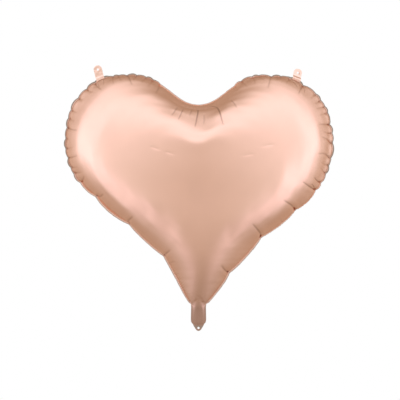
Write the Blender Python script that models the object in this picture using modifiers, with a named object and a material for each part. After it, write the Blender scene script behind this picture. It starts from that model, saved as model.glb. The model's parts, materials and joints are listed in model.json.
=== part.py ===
"""Heart-shaped foil balloon, inflated, standing upright in the seam plane.

Frame: +Z up, front face towards -Y, right towards +X; the seam (weld) plane is y = 0.
Origin: lowest point of the filler neck, on the heart's centre line, in the seam plane.
Dimensions are in millimetres and are converted by MM as the meshes and placements are made.
"""

import math

import bmesh
import bpy
import numpy as np
from mathutils import Matrix, Vector

MM = 0.001

# ---------------------------------------------------------------- body and films
OVERALL_W = 610.0  # outer edge of the welded rim, lobe to lobe
BODY_DEPTH = 280.0  # front of the front panel to back of the back panel
NECK_LEN = 59.0  # neck root to the tip of the neck
ROOT_Z = NECK_LEN  # height of the neck root, its live hinge, above the origin
RIM_W = 5.0  # width of the heat-welded rim
THROAT_HALF_W = 15.2  # centre line to the end of the rim's inner edge, at the neck
FILM_T = 0.5  # one foil panel
SEAL_T = 0.5  # fused sealant in the rim
VALVE_T = 0.25  # one valve film
GAP = 0.3  # clearance between stacked films
VALVE_GAP = 0.2  # clearance between the two valve films
HINGE_CLEAR_NECK = 1.0  # live hinge to the neck's films
HINGE_CLEAR_BODY = 2.0  # live hinge to the rim's inner edge

# Rim's outer edge, right half, from the notch over the lobe to the neck:
# cubic Bezier handles (x, height above the neck root)
HALF_W = OVERALL_W / 2
WIDEST_Z = 368.0
OUTLINE = [
    (0.0, 456.0), (58.0, 456.0), (69.0, 522.0), (156.0, 522.0),
    (272.0, 522.0), (HALF_W, 441.0), (HALF_W, WIDEST_Z),
    (HALF_W, 267.0), (220.0, 221.0), (150.0, 162.0),
    (91.0, 112.5), (58.0, 68.0), (20.0, 3.2),
]
OUTLINE_SAMPLES = 60  # points per Bezier span, before even spacing
N_SIDE = 36  # outline segments on each half
N_RINGS = 9  # dome sections between the rim and the centre
CENTRE = np.array([0.0, 330.0])  # the dome's sections close here: x, height above the neck root

# Films: (nearest, farthest) distance from the seam plane
SEAL_LAYER = (-SEAL_T / 2, SEAL_T / 2)
FLANGE_Y = SEAL_T / 2 + GAP  # inner face of a panel's flange
FLANGE_LAYER = (FLANGE_Y, FLANGE_Y + FILM_T)
VALVE_LAYER = (VALVE_GAP / 2, VALVE_GAP / 2 + VALVE_T)
NECK_LAYER = (VALVE_LAYER[1] + GAP, VALVE_LAYER[1] + GAP + FILM_T)
NECK_SEAL_LAYER = (-VALVE_LAYER[1], VALVE_LAYER[1])
SIDES = (("front", -1), ("back", 1))

# ---------------------------------------------------------------- filler neck
NECK_W = 35.0  # across its side welds
NECK_TOP_Z = ROOT_Z - HINGE_CLEAR_NECK
NECK_WELD_W = 3.5
NECK_TIP_R = 6.8  # rounded end of the neck
NECK_TAPER_Z = 21.0  # height where the neck turns in towards its tip
SHOULDER_RISE = 3.0  # small chamfer above that height
SHOULDER_IN = 0.5
TIP_POINTS = 7  # on half of the rounded end
TIE_HOLE_R = 2.5
TIE_HOLE_Z = NECK_TIP_R  # concentric with the rounded end
INLET_R = 4.5  # inlet in the back films of the neck and the valve
INLET_Z = 24.0

# ---------------------------------------------------------------- self-sealing valve
VALVE_W = 24.0
VALVE_BOTTOM_Z = 15.5  # lower end of the valve sleeve, inside the neck
SLEEVE_CORNER = 2.0  # chamfer on the sleeve's lower corners
POCKET_DROP = 0.7  # valve's lower end to the bottom of the weld's pocket
POCKET_BOTTOM_HALF_W = 12.6
POCKET_TAPER_RISE = 2.0  # neck's taper height to the pocket's
TONGUE_ROOT_Z = 62.0  # where the valve's free length starts, inside the balloon
TONGUE_LEN = 95.0
TONGUE_CORNER_R = 4.0
TONGUE_CORNER_START = 0.3  # radians, first corner point after the straight side
TONGUE_CORNER_POINTS = 4

# ---------------------------------------------------------------- hanging tabs
TAB_W = 19.0
TAB_LEN = 30.0  # live hinge to the tab's round end
TAB_LEAN = 14.0  # degrees outward from upright
TAB_HOLE_R = 2.5
RIGHT_TAB_BACK = 48.0  # degrees the right tab leans back; the left one stays in the seam plane
TAB_X = 222.0  # where a tab's centre line meets the rim's outer edge
TAB_HINGE_OUT = 1.4  # rim's outer edge to the tab's live hinge
TAB_ROOT_OUT = 0.9  # live hinge to the tab's root
TAB_END_POINTS = 13
FINE_SAMPLES = 200  # points per Bezier span when a tab's foot is looked up
FINE_SEGMENTS = 3000

HOLE_SEGMENTS = 24
INLET_SEGMENTS = 32
CUTTER_LEN = 12.0
WELD_DIST = 1e-6  # metres, vertices merged in a flat piece
SHARP_ANGLE = 40.0  # degrees

# ---------------------------------------------------------------- finishes
FOIL = dict(
    label="foil_satin_rose_gold", colour=(0.83, 0.56, 0.44), roughness=0.32, metallic=1.0
)
SEALANT = dict(label="sealant_film", colour=(0.80, 0.62, 0.54), roughness=0.5, metallic=0.0)
VALVE = dict(label="valve_film", colour=(0.86, 0.87, 0.88), roughness=0.45, metallic=0.0)


def material(piece, label, colour, roughness, metallic):
    mat = bpy.data.materials.new(f"{piece}_{label}")
    mat.use_nodes = True
    inputs = mat.node_tree.nodes["Principled BSDF"].inputs
    inputs["Base Color"].default_value = (*colour, 1.0)
    inputs["Roughness"].default_value = roughness
    inputs["Metallic"].default_value = metallic
    mat.diffuse_color = (*colour, 1.0)
    return mat


# ---------------------------------------------------------------- scene
for old in list(bpy.data.objects):
    bpy.data.objects.remove(old, do_unlink=True)

parts = bpy.data.collections.new("heart_foil_balloon")
cutters = bpy.data.collections.new("cutters")
for collection in (parts, cutters):
    bpy.context.scene.collection.children.link(collection)


def add(mesh, name, finish):
    """Link a mesh as a smooth-shaded piece with its own material."""
    for face in mesh.polygons:
        face.use_smooth = True
    mesh.set_sharp_from_angle(angle=math.radians(SHARP_ANGLE))
    mesh.materials.append(material(name, **finish))
    ob = bpy.data.objects.new(name, mesh)
    parts.objects.link(ob)
    return ob


# ---------------------------------------------------------------- outlines
def bezier_chain(handles, per_span):
    """Points along a chain of cubic spans, the last handle included."""
    points = []
    for i in range(0, len(handles) - 3, 3):
        start, lead, trail, end = (np.array(h, float) for h in handles[i : i + 4])
        for t in np.linspace(0, 1, per_span, endpoint=False):
            s = 1 - t
            points.append(
                s**3 * start + 3 * s * s * t * lead + 3 * s * t * t * trail + t**3 * end
            )
    points.append(np.array(handles[-1], float))
    return np.array(points)


def even(line, count):
    """count + 1 points spaced evenly along a polyline."""
    travelled = np.r_[0, np.cumsum(np.hypot(*np.diff(line, axis=0).T))]
    stops = np.linspace(0, travelled[-1], count + 1)
    return np.c_[np.interp(stops, travelled, line[:, 0]), np.interp(stops, travelled, line[:, 1])]


def inset(line, distance):
    """An open half outline moved inwards, its first point staying on the centre line."""
    tangent = np.gradient(line, axis=0)
    tangent /= np.hypot(*tangent.T)[:, None]
    moved = line - np.c_[-tangent[:, 1], tangent[:, 0]] * distance
    moved[0] = (0.0, line[0, 1] - distance)
    return moved


def both_sides(half):
    """The whole outline, from the right of the neck root, over the lobes, to its left."""
    return np.vstack([half[::-1], half[1:] * [-1, 1]])


def mirrored(points):
    """The points reflected in the centre line, in reverse order, to carry an outline on."""
    return [(-x, z) for x, z in reversed(points)]


outer_half = even(bezier_chain(OUTLINE, OUTLINE_SAMPLES), N_SIDE)
inner_half = inset(outer_half, RIM_W)
inner_half[-1] = (THROAT_HALF_W, HINGE_CLEAR_BODY)
outer = both_sides(outer_half)
inner = both_sides(inner_half)


# ---------------------------------------------------------------- dome height
class Dome:
    """Height of a film held along a closed outline and blown up.

    It is the root of the membrane equation's solution on that outline, which rises steeply
    from the weld and gives every narrow section an elliptic arch.
    """

    STEP = 5.0  # grid pitch
    MARGIN = 3 * STEP  # grid beyond the outline
    SWEEPS = 700
    OVER_RELAXATION = 1.85

    def __init__(self, outline, peak):
        self.low = outline.min(axis=0) - self.MARGIN
        high = outline.max(axis=0) + self.MARGIN
        nx, nz = np.ceil((high - self.low) / self.STEP).astype(int)
        xs = self.low[0] + self.STEP * np.arange(nx)
        zs = self.low[1] + self.STEP * np.arange(nz)
        inside = self.contains(outline, *np.meshgrid(xs, zs, indexing="ij"))
        odd = (np.add.outer(np.arange(nx), np.arange(nz)) % 2).astype(bool)
        self.grid = self.solve(inside, odd)
        self.scale = peak / math.sqrt(self.grid.max())

    @staticmethod
    def contains(outline, x, z):
        """Even-odd test of grid points against the outline."""
        found = np.zeros(x.shape, bool)
        for (x0, z0), (x1, z1) in zip(outline, np.roll(outline, -1, axis=0)):
            if z0 != z1:
                spans = (z0 > z) != (z1 > z)
                found ^= spans & (x < (x1 - x0) * (z - z0) / (z1 - z0) + x0)
        return found

    def solve(self, inside, odd):
        """Red-black over-relaxation of the membrane equation, zero outside the outline."""
        grid = np.zeros(inside.shape)
        for _ in range(self.SWEEPS):
            for colour in (odd, ~odd):
                cells = inside & colour
                near = np.zeros_like(grid)
                near[1:-1, 1:-1] = grid[2:, 1:-1] + grid[:-2, 1:-1] + grid[1:-1, 2:] + grid[1:-1, :-2]
                relaxed = (near[cells] + self.STEP**2) / 4
                grid[cells] += self.OVER_RELAXATION * (relaxed - grid[cells])
        return grid

    def height(self, point):
        """Bilinear lookup in the grid, then its scaled root."""
        place = (point - self.low) / self.STEP
        i, j = int(place[0]), int(place[1])
        fx, fz = place[0] - i, place[1] - j
        value = (
            self.grid[i, j] * (1 - fx) * (1 - fz)
            + self.grid[i + 1, j] * fx * (1 - fz)
            + self.grid[i, j + 1] * (1 - fx) * fz
            + self.grid[i + 1, j + 1] * fx * fz
        )
        return self.scale * math.sqrt(max(value, 0.0))


# ---------------------------------------------------------------- foil panels
def panel(name, side, dome):
    """A flat welded flange, then a domed shell lofted through shrinking heart sections."""
    bm = bmesh.new()

    def vertex(point, height):
        y = side * (FLANGE_Y + height)
        return bm.verts.new((point[0] * MM, y * MM, (point[1] + ROOT_Z) * MM))

    rows = [[vertex(point, 0.0) for point in edge] for edge in (outer, inner)]
    for k in range(1, N_RINGS + 1):
        # close together at the rim, where the film rises steeply
        share = 1 - (k / (N_RINGS + 1)) ** 2
        ring = CENTRE + (inner - CENTRE) * share
        rows.append([vertex(point, dome.height(point)) for point in ring])
    top = vertex(CENTRE, dome.height(CENTRE))

    count = len(outer)
    for row, following in zip(rows, rows[1:]):
        # the flange stays open at the neck's throat, the dome closes across it
        for i in range(count - 1 if row is rows[0] else count):
            j = (i + 1) % count
            bm.faces.new((row[i], row[j], following[j], following[i]))
    for i in range(count):
        bm.faces.new((rows[-1][i], rows[-1][(i + 1) % count], top))

    # normals point away from the seam plane, so that the film thickens outwards
    bmesh.ops.recalc_face_normals(bm, faces=bm.faces)
    bm.normal_update()
    near_top = min(bm.faces, key=lambda f: (f.calc_center_median() - top.co).length)
    if near_top.normal.y * side < 0:
        bmesh.ops.reverse_faces(bm, faces=bm.faces)
    mesh = bpy.data.meshes.new(name)
    bm.to_mesh(mesh)
    bm.free()

    thick = add(mesh, name, FOIL).modifiers.new("film thickness", "SOLIDIFY")
    thick.thickness = FILM_T * MM
    thick.offset = 1.0
    thick.use_even_offset = True


# ---------------------------------------------------------------- flat pieces
def plate(name, outline, layer, finish, side=1):
    """A flat piece parallel to the seam plane, filling a closed (x, z) outline.

    layer is its near and far distance from the seam plane; side is -1 in front, 1 behind.
    """
    near, far = layer
    curve = bpy.data.curves.new(name, "CURVE")
    curve.dimensions = "2D"
    curve.fill_mode = "BOTH"
    curve.extrude = (far - near) / 2 * MM
    spline = curve.splines.new("POLY")
    spline.points.add(len(outline) - 1)
    for point, (x, z) in zip(spline.points, outline):
        point.co = (x * MM, z * MM, 0.0, 1.0)
    spline.use_cyclic_u = True

    guide = bpy.data.objects.new(name + "_outline", curve)
    upright = Matrix.Rotation(math.pi / 2, 4, "X")
    guide.matrix_world = Matrix.Translation((0, side * (near + far) / 2 * MM, 0)) @ upright
    parts.objects.link(guide)
    bpy.context.view_layer.update()
    evaluated = guide.evaluated_get(bpy.context.evaluated_depsgraph_get())
    mesh = bpy.data.meshes.new_from_object(evaluated)
    mesh.transform(guide.matrix_world)
    bpy.data.objects.remove(guide, do_unlink=True)

    # join the caps to the walls
    bm = bmesh.new()
    bm.from_mesh(mesh)
    bmesh.ops.remove_doubles(bm, verts=bm.verts, dist=WELD_DIST)
    bmesh.ops.recalc_face_normals(bm, faces=bm.faces)
    bm.to_mesh(mesh)
    bm.free()
    mesh.name = name
    return add(mesh, name, finish)


def drill(ob, radius, x, z, segments=HOLE_SEGMENTS):
    """Cut a round hole along Y through a flat piece; returns the hidden cutter."""
    bm = bmesh.new()
    bmesh.ops.create_cone(
        bm,
        cap_ends=True,
        segments=segments,
        radius1=radius * MM,
        radius2=radius * MM,
        depth=CUTTER_LEN * MM,
        matrix=Matrix.Rotation(math.pi / 2, 4, "X"),
    )
    mesh = bpy.data.meshes.new(ob.name + "_hole")
    bm.to_mesh(mesh)
    bm.free()
    tool = bpy.data.objects.new(f"{ob.name}_hole_{int(z)}", mesh)
    cutters.objects.link(tool)
    tool.hide_render = True
    tool.display_type = "WIRE"
    tool.location = (x * MM, 0, z * MM)
    cut = ob.modifiers.new("hole", "BOOLEAN")
    cut.operation = "DIFFERENCE"
    cut.object = tool
    return tool


def rim_seal():
    """The rim's fused sealant: one band round both lobes, open at the throat."""
    band = np.vstack([outer, inner[::-1]]) + [0.0, ROOT_Z]
    plate("rim_seal", band, SEAL_LAYER, SEALANT)


# ---------------------------------------------------------------- filler neck
def neck_outline():
    """Straight sides, a taper, and a round tip; from the top right down and up to the left."""
    half = NECK_W / 2
    # the tip's round starts where a line from the full-width taper height touches it
    away_x, away_z = half, NECK_TAPER_Z - NECK_TIP_R
    start = math.atan2(away_z, away_x) - math.acos(NECK_TIP_R / math.hypot(away_x, away_z))
    right = [
        (half, NECK_TOP_Z),
        (half, NECK_TAPER_Z + SHOULDER_RISE),
        (half - SHOULDER_IN, NECK_TAPER_Z),
    ]
    for angle in np.linspace(start, -math.pi / 2, TIP_POINTS):
        right.append((NECK_TIP_R * math.cos(angle), NECK_TIP_R + NECK_TIP_R * math.sin(angle)))
    return right + mirrored(right[:-1])


def neck_films():
    for name, side in SIDES:
        film = plate(f"neck_{name}", neck_outline(), NECK_LAYER, FOIL, side)
        drill(film, TIE_HOLE_R, 0.0, TIE_HOLE_Z)
        if name == "back":
            drill(film, INLET_R, 0.0, INLET_Z, INLET_SEGMENTS)


def neck_seal():
    """The neck's weld: both sides and the tip, round the pocket that holds the valve."""
    pocket_half = NECK_W / 2 - NECK_WELD_W
    pocket = [
        (POCKET_BOTTOM_HALF_W, VALVE_BOTTOM_Z - POCKET_DROP),
        (pocket_half, NECK_TAPER_Z + POCKET_TAPER_RISE),
        (pocket_half, NECK_TOP_Z),
    ]
    weld = neck_outline() + mirrored(pocket) + pocket
    seal = plate("neck_seal", weld, NECK_SEAL_LAYER, SEALANT)
    drill(seal, TIE_HOLE_R, 0.0, TIE_HOLE_Z)


# ---------------------------------------------------------------- valve
def valve_sleeve():
    """The valve's two films inside the neck."""
    half = VALVE_W / 2
    right = [
        (half, NECK_TOP_Z),
        (half, VALVE_BOTTOM_Z + SLEEVE_CORNER),
        (half - SLEEVE_CORNER, VALVE_BOTTOM_Z),
    ]
    for name, side in SIDES:
        film = plate(f"valve_sleeve_{name}", right + mirrored(right), VALVE_LAYER, VALVE, side)
        if name == "back":
            drill(film, INLET_R, 0.0, INLET_Z, INLET_SEGMENTS)


def valve_tongue():
    """The valve's two free films inside the balloon, with rounded upper corners."""
    half, radius = VALVE_W / 2, TONGUE_CORNER_R
    corner_x = half - radius
    corner_z = TONGUE_ROOT_Z + TONGUE_LEN - radius
    right = [(half, TONGUE_ROOT_Z), (half, corner_z)]
    for angle in np.linspace(TONGUE_CORNER_START, math.pi / 2, TONGUE_CORNER_POINTS):
        right.append((corner_x + radius * math.cos(angle), corner_z + radius * math.sin(angle)))
    for name, side in SIDES:
        plate(f"valve_tongue_{name}", right + mirrored(right), VALVE_LAYER, VALVE, side)


# ---------------------------------------------------------------- hanging tabs
def tab_foot():
    """Point and outward normal of the rim's outer edge at TAB_X, above its widest height."""
    fine = even(bezier_chain(OUTLINE, FINE_SAMPLES), FINE_SEGMENTS)
    upper = [i for i in range(1, FINE_SEGMENTS) if fine[i, 1] > WIDEST_Z]
    nearest = min(upper, key=lambda i: abs(fine[i, 0] - TAB_X))
    tangent = fine[nearest + 1] - fine[nearest - 1]
    tangent /= math.hypot(*tangent)
    return fine[nearest], np.array([-tangent[1], tangent[0]])


def tab_outline(hinge, out, up):
    """Right tab: root along the rim, sides leaning outward, round end."""
    half = TAB_W / 2
    across = np.array([up[1], -up[0]])

    def root(offset):
        """Where the side line at this offset from the tab's centre line starts."""
        rise = (TAB_ROOT_OUT - offset * float(across @ out)) / float(up @ out)
        return hinge + across * offset + up * rise

    points = [root(half)]
    for angle in np.linspace(0, math.pi, TAB_END_POINTS):
        reach = TAB_LEN - half + half * math.sin(angle)
        points.append(hinge + across * half * math.cos(angle) + up * reach)
    return points + [root(-half)]


def hanging_tabs():
    """Two tabs of three plies each, front film, seal and back film, with a hole through."""
    foot, out = tab_foot()
    hinge = foot + out * TAB_HINGE_OUT
    lean = math.radians(TAB_LEAN)
    up = np.array([math.sin(lean), math.cos(lean)])
    hole = hinge + up * (TAB_LEN - TAB_W / 2)
    outline = tab_outline(hinge, out, up)

    # the right tab turns back about its live hinge, which runs along the rim
    pivot = Matrix.Translation((hinge[0] * MM, 0, (hinge[1] + ROOT_Z) * MM))
    hinge_axis = Vector((out[1], 0, -out[0]))
    turn = Matrix.Rotation(math.radians(-RIGHT_TAB_BACK), 4, hinge_axis)
    lean_back = pivot @ turn @ pivot.inverted()

    plies = (
        ("front", FLANGE_LAYER, FOIL, -1),
        ("seal", SEAL_LAYER, SEALANT, 1),
        ("back", FLANGE_LAYER, FOIL, 1),
    )
    for hand, mirror in (("right", 1), ("left", -1)):
        points = [(mirror * x, z + ROOT_Z) for x, z in outline][::mirror]
        for ply, layer, finish, side in plies:
            tab = plate(f"hang_tab_{hand}_{ply}", points, layer, finish, side)
            tool = drill(tab, TAB_HOLE_R, mirror * hole[0], hole[1] + ROOT_Z)
            if hand == "right":
                tab.matrix_world = lean_back
                tool.matrix_world = lean_back @ Matrix.Translation(tool.location)


# ---------------------------------------------------------------- build
body_dome = Dome(inner, BODY_DEPTH / 2 - FLANGE_Y - FILM_T)
for side_name, side_sign in SIDES:
    panel(f"{side_name}_panel", side_sign, body_dome)
rim_seal()
neck_films()
neck_seal()
valve_sleeve()
valve_tongue()
hanging_tabs()
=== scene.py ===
"""The finished look of a heart-shaped foil balloon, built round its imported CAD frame.

The heart stands upright: x runs across it, the front faces -y, and z runs up from the neck's tip.
Both foil films, their welded rim and the neck are one flat pattern, blown up by a cloth simulation.
The inflated film is read back over the pattern and its wrinkles are brought down to a taut
balloon's. The rim's pinches and the creases are then pressed into a finely cut mesh.
Lengths are in millimetres until a mesh is made. "Film position" means the distance along the flat
pattern's weld: from the notch down the right side, round the neck's end and back up the left.
"""

import json
import math
from collections import namedtuple
from types import SimpleNamespace

import bmesh
import bpy
import numpy as np
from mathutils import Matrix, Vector
from mathutils.bvhtree import BVHTree
from mathutils.geometry import delaunay_2d_cdt
from mathutils.kdtree import KDTree


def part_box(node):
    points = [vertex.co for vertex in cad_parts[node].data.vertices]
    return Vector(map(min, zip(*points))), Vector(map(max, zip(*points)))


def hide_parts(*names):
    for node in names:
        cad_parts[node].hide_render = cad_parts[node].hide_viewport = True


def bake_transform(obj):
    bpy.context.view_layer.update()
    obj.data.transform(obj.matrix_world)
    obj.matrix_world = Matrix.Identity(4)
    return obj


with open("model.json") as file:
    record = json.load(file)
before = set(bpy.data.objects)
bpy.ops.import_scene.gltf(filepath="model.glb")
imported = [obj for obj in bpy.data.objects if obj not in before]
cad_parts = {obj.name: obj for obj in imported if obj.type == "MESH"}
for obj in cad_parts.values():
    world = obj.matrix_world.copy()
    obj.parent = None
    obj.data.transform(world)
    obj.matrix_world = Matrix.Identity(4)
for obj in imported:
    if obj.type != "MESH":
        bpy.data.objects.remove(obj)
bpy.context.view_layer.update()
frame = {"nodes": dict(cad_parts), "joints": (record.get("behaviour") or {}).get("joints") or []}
MM = 0.001
joints = {joint["name"]: joint for joint in frame["joints"]}


def joint_place(name):
    return np.array(joints[name]["pos_m"]) * 1000


# ---------------------------------------------------------------- sizes
ROOT = float(joint_place("neck_fold")[2])  # height where the neck meets the heart
HALF_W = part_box("rim_seal")[1].x * 1000
HALF_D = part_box("back_panel")[1].y * 1000
NECK_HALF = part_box("neck_front")[1].x * 1000
RIM_W = 5.0
NECK_RIM_W = 3.6  # rim width where it runs into the neck
NECK_WELD = 3.5
NECK_IN = NECK_HALF - NECK_WELD
POCKET = 14.8  # height of the lower end of the neck's hollow
TIP_RADIUS = 6.8
TIE_HOLE = (0.0, TIP_RADIUS, 2.5)  # x, z, radius: centred in the neck's round tip, in both films
INLET_HOLE = (0.0, 24.0, 4.5)  # back film only
HOLE_SIDES = 24
FOIL_THICK = 0.12
FILM_OFFSET = 0.18  # each film stands this far off the middle layer
CENTRE = np.array([0.0, ROOT + 330.0])  # the middle of the heart, x and z

SIM_STEP = 4.5  # point spacing of the simulated mesh along the weld
SIM_FRAMES = 28
FINE = 3.0  # point spacing of the finished mesh along the weld
COLS, ROWS = 560, 56  # film grid: round the weld, and from the weld to the centre
ROW_POWER = 1.3  # crowds the rows towards the weld
FINE_BODY, FINE_NECK = 1500, 90  # steps of the dense outlines down one side

# Bezier handles (x, z) of the right half, from the notch to the root of the neck, above the root
DRAWN_HALF_W = 305.0
RIM = [
    (0.0, 456.0), (58.0, 456.0), (69.0, 522.0), (156.0, 522.0),
    (272.0, 522.0), (305.0, 441.0), (305.0, 368.0),
    (305.0, 267.0), (220.0, 221.0), (150.0, 162.0),
    (91.0, 112.5), (58.0, 68.0), (20.0, 3.2),
]
FLAT = [
    (0.0, 597.3), (69.0, 597.3), (74.2, 613.9), (153.5, 613.9),
    (259.0, 613.9), (351.1, 521.6), (351.1, 409.7),
    (351.1, 240.3), (148.2, 109.2), (18.0, 0.0),
]

# places where the welded rim puckers: x, z, length of the crease that runs in from there
PINCHES = [
    (-87, 557, 18), (-102, 568, 12), (-118, 573, 9), (-139, 577, 8), (-161, 576, 22),
    (-181, 577, 8), (-193, 576, 12), (-236, 564, 16), (-252, 546, 10), (-271, 526, 7),
    (-287, 499, 9), (-292, 481, 10), (-295, 460, 19), (-298, 435, 8), (-298, 413, 10),
    (-290, 392, 19), (-287, 370, 10), (-280, 356, 14), (-265, 336, 12), (-230, 305, 17),
    (-155, 243, 17), (-77, 171, 17),
    (80, 556, 10), (96, 566, 10), (121, 574, 12), (136, 577, 9), (164, 573, 22), (186, 574, 8),
    (207, 570, 10), (236, 554, 20), (265, 535, 10), (275, 521, 10), (284, 508, 13),
    (291, 494, 13), (295, 467, 22), (301, 448, 10), (301, 425, 19), (300, 391, 22),
    (296, 373, 12), (289, 355, 10), (278, 334, 15), (265, 319, 24), (219, 274, 27),
    (141, 213, 27), (68, 133, 18),
]
# creases away from the pinches: start and end (x, z), depth, width, and how strong the painted
# shade along it is if not by depth
FRONT_CREASES = [
    ((-4, 500), (-9, 454), 0.9, 2.6), ((26, 507), (55, 456), 1.2, 2.6),
    ((-46, 502), (-60, 481), 0.5, 2.4), ((-33, 498), (-45, 472), 0.6, 2.4),
    ((12, 486), (11, 463), 0.35, 3.0), ((72, 517), (84, 498), 0.45, 3.0),
    ((-15, 499), (-21, 480), 0.35, 2.4), ((214, 563), (221, 550), 0.6, 1.8),
    ((228, 558), (231, 546), 0.7, 1.6), ((240, 549), (237, 539), 0.5, 1.6),
    ((-228, 560), (-223, 548), 0.5, 1.6), ((-214, 566), (-213, 556), 0.4, 1.6),
    ((-72, 148), (-52, 160), 0.5, 1.8), ((-58, 122), (-42, 132), 0.45, 1.8),
    ((196, 243), (181, 258), 0.35, 2.4), ((252, 333), (262, 320), 0.8, 2.0),
    ((-104, 412), (-86, 405), 0.55, 2.2, 0.0), ((-72, 400), (-53, 393), 0.5, 2.2, 0.0),
    ((96, 391), (122, 397), 0.48, 2.4, 0.0), ((138, 411), (166, 418), 0.5, 2.2, 0.0),
]
BACK_CREASES = [
    ((6, 500), (12, 460), 0.9, 2.6), ((-28, 506), (-52, 462), 1.1, 2.6),
    ((38, 503), (56, 474), 0.6, 2.4), ((-70, 516), (-86, 496), 0.5, 2.8),
    ((-12, 498), (-16, 474), 0.4, 2.4),
]
# how much thinner the lower end is than the free film: height, factor
SLIM = np.array([
    (0, 1.0), (ROOT, 0.70), (64, 0.62), (70, 0.68), (77, 0.72), (85, 0.78),
    (96, 0.83), (110, 0.88), (127, 0.93), (144, 0.97), (165, 1.0),
])

Pinch = namedtuple("Pinch", "s goal offset length")  # s and goal: film and seen weld positions
# a crease's mark is how strong the shade painted along it is
Crease = namedtuple("Crease", "path depth width mark")  # path: start, middle and end on the pattern


# ---------------------------------------------------------------- curves
def ease(x, low, high):
    """Smooth step from 0 at low to 1 at high."""
    t = np.clip((x - low) / (high - low), 0, 1)
    return t * t * (3 - 2 * t)


def upright(points):
    """Plane points (x, z) as points in space with y = 0."""
    return np.c_[points[:, 0], np.zeros(len(points)), points[:, 1]]


def bezier_chain(handles, steps=300):
    out = []
    for i in range(0, len(handles) - 3, 3):
        a, b, c, d = [np.array(handle, float) for handle in handles[i : i + 4]]
        for t in np.linspace(0, 1, steps, endpoint=False):
            s = 1 - t
            out.append(s**3 * a + 3 * s * s * t * b + 3 * s * t * t * c + t**3 * d)
    out.append(np.array(handles[-1], float))
    return np.array(out)


def run(line):
    """Distance travelled along a polyline at each of its points."""
    return np.r_[0, np.cumsum(np.hypot(*np.diff(line, axis=0).T))]


def closed_run(loop):
    return run(np.vstack([loop, loop[:1]]))


def resampled(line, steps):
    travelled = run(line)
    s = np.linspace(0, 1, steps + 1) * travelled[-1]
    return np.c_[np.interp(s, travelled, line[:, 0]), np.interp(s, travelled, line[:, 1])]


def resampled_by(line, step):
    return resampled(line, max(2, int(round(run(line)[-1] / step))))


def mirrored_loop(half):
    """Closes a right half that starts and ends on the middle line with its mirror image."""
    return np.vstack([half, half[-2:0:-1] * [-1, 1]])


def closed_loop(body_half, neck_half, body_steps, neck_steps):
    body = resampled(body_half, body_steps)
    return mirrored_loop(np.vstack([body, resampled(neck_half, neck_steps)[1:]]))


def normals_of(line, closed):
    if closed:
        tangent = np.roll(line, -1, 0) - np.roll(line, 1, 0)
    else:
        tangent = np.gradient(line, axis=0)
    tangent = tangent / np.maximum(np.hypot(*tangent.T), 1e-9)[:, None]
    return np.c_[-tangent[:, 1], tangent[:, 0]]


def curve_through(path, count):
    """A smooth curve through three points."""
    t = np.linspace(0, 1, count)[:, None]
    handle = 2 * path[1] - (path[0] + path[2]) / 2
    return (1 - t) ** 2 * path[0] + 2 * (1 - t) * t * handle + t**2 * path[2]


def circle_angles():
    return np.linspace(0, 2 * math.pi, HOLE_SIDES + 1)[:-1]


# ---------------------------------------------------------------- plane helpers
def kd_tree(points):
    tree = KDTree(len(points))
    for i, point in enumerate(points):
        tree.insert((point[0], point[1], 0), i)
    tree.balance()
    return tree


def nearest_on(points, line, closed=True):
    """Distance to a polyline, the segment it falls on, and how far along that segment."""
    starts = line if closed else line[:-1]
    ends = np.roll(line, -1, 0) if closed else line[1:]
    count = len(starts)
    tree = kd_tree(line)
    near = np.array([tree.find((p[0], p[1], 0))[1] for p in points], int)
    best = np.full(len(points), 1e9)
    segment = np.zeros(len(points), int)
    share = np.zeros(len(points))
    for shift in (-2, -1, 0, 1):
        i = (near + shift) % count if closed else np.clip(near + shift, 0, count - 1)
        way = ends[i] - starts[i]
        t = np.clip(((points - starts[i]) * way).sum(1) / ((way * way).sum(1) + 1e-12), 0, 1)
        distance = np.hypot(*(points - starts[i] - t[:, None] * way).T)
        closer = distance < best
        best[closer], segment[closer], share[closer] = distance[closer], i[closer], t[closer]
    return best, segment, share


class Star:
    """A closed outline that is seen whole from CENTRE; finds the segment each direction meets."""

    def __init__(self, loop):
        angle = np.unwrap(np.arctan2(loop[:, 0] - CENTRE[0], loop[:, 1] - CENTRE[1]))
        self.reversed = angle[-1] <= angle[0]
        self.loop = loop[::-1] if self.reversed else loop
        angle = angle[::-1] if self.reversed else angle
        self.first = angle[0]
        self.angles = np.maximum.accumulate(np.r_[angle, angle[0] + 2 * math.pi])

    def meet(self, points):
        """Segment in the outline's own order, share along it, and how many times farther it is."""
        ray = points - CENTRE
        turned = np.mod(np.arctan2(ray[:, 0], ray[:, 1]) - self.first, 2 * math.pi)
        angle = self.first + turned
        count = len(self.loop)
        i = np.clip(np.searchsorted(self.angles, angle, side="right") - 1, 0, count - 1)
        start = self.loop[i] - CENTRE
        way = self.loop[(i + 1) % count] - CENTRE - start
        cross = ray[:, 0] * way[:, 1] - ray[:, 1] * way[:, 0]
        cross = np.where(np.abs(cross) < 1e-12, 1e-12, cross)
        times = (start[:, 0] * way[:, 1] - start[:, 1] * way[:, 0]) / cross
        hit = times[:, None] * ray - start
        share = np.clip((hit * way).sum(1) / ((way * way).sum(1) + 1e-12), 0, 1)
        if self.reversed:
            i, share = (count - 2 - i) % count, 1 - share
        return i, share, np.where(np.hypot(*ray.T) < 1e-6, 1e9, np.abs(times))

    def inside(self, points):
        return self.meet(points)[2] >= 1


def outward(loop):
    """Normals of a closed outline that point away from its inside."""
    out = normals_of(loop, True)
    return -out if Star(loop).inside(loop + out * 2).mean() > 0.5 else out


def hexes(step, low, high):
    """Points of a triangular lattice in a rectangle."""
    rows = []
    for k, z in enumerate(np.arange(low[1], high[1], step * math.sqrt(3) / 2)):
        x = np.arange(low[0] + (k % 2) * step / 2, high[0], step)
        rows.append(np.c_[x, np.full(len(x), z)])
    return np.vstack(rows)


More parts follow.
